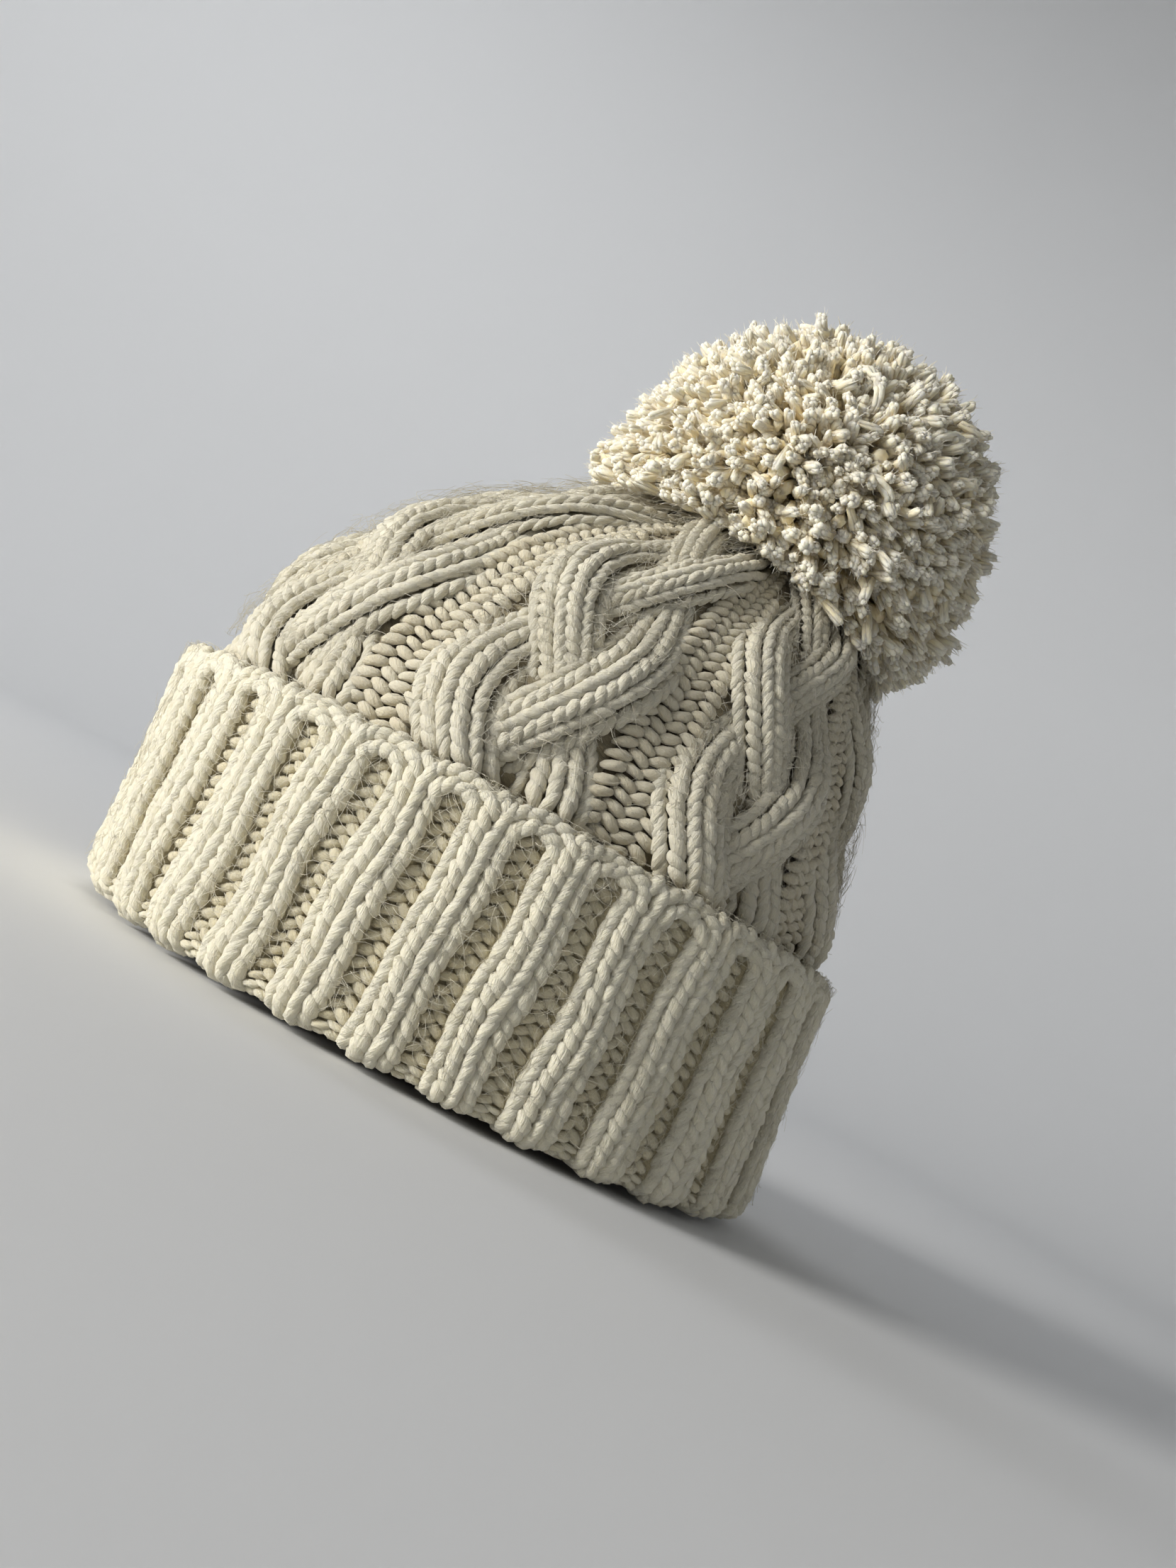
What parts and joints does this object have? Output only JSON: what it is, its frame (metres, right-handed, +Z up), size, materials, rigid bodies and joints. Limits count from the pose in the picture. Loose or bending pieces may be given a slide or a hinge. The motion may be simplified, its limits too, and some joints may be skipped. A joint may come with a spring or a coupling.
{
  "type": "knit beanie",
  "caption": "Chunky cable-knit bobble hat: domed crown of plaited cables between purl panels, a turned-up ribbed cuff and a large yarn pompom tied at the peak.",
  "frame": {"origin": "middle of the hat's length and width, on the plane of the turned-up rim", "axes": "+Z up along the hat's own axis to the peak, the wearer's face towards -Y, the wearer's left towards +X"},
  "size_m": [0.183, 0.2251, 0.256],
  "materials": {
    "cable_knit": "soft matt wool-look yarn with fine loose fibres",
    "purl_knit": "soft matt wool-look yarn, deeper and more shaded",
    "rib_knit": "soft matt wool-look yarn with fine loose fibres",
    "tie_yarn": "soft matt yarn",
    "pompom_yarn": "soft cut yarn ends, slightly warmer than the knitting"
  },
  "bodies": {
    "hat": {"cable_braid_1": "cable_knit", "cable_braid_2": "cable_knit", "cable_braid_3": "cable_knit", "cable_braid_4": "cable_knit", "cable_braid_5": "cable_knit", "cable_braid_6": "cable_knit", "cable_braid_7": "cable_knit", "cable_braid_8": "cable_knit", "purl_panel_1": "purl_knit", "purl_panel_2": "purl_knit", "purl_panel_3": "purl_knit", "purl_panel_4": "purl_knit", "purl_panel_5": "purl_knit", "purl_panel_6": "purl_knit", "purl_panel_7": "purl_knit", "purl_panel_8": "purl_knit", "brim_inner": "rib_knit", "gather_yarn": "tie_yarn", "anchor_knot": "tie_yarn", "tie_tails": "tie_yarn"},
    "cuff": {"cuff_panel": "rib_knit", "cuff_fold": "rib_knit", "cuff_edge": "rib_knit"},
    "tie": {"tie_neck": "tie_yarn"},
    "pompom_waist": {"waist_tie": "tie_yarn"},
    "pompom": {"pompom_left_bundle": "pompom_yarn", "pompom_right_bundle": "pompom_yarn"}
  },
  "joints": [
    {"name": "cuff_turn_down", "type": "slide", "parent": "hat", "child": "cuff", "axis": [0, 0.0917, -0.9958], "range_m": [0, 0.065]},
    {"name": "pompom_nod", "type": "hinge", "parent": "hat", "child": "tie", "pos_m": [0, 0.0275, 0.184], "axis": [1, 0, 0], "range_deg": [-15, 15], "stiffness_Nm_per_rad": 0.08},
    {"name": "pompom_sway", "type": "hinge", "parent": "tie", "child": "pompom_waist", "pos_m": [0, 0.0275, 0.184], "axis": [0, 1, 0], "range_deg": [-15, 15], "stiffness_Nm_per_rad": 0.08},
    {"name": "pompom_twist", "type": "hinge", "parent": "pompom_waist", "child": "pompom", "pos_m": [0, 0.0275, 0.206], "axis": [0, 0, 1], "range_deg": [-60, 60], "stiffness_Nm_per_rad": 0.02}
  ]
}
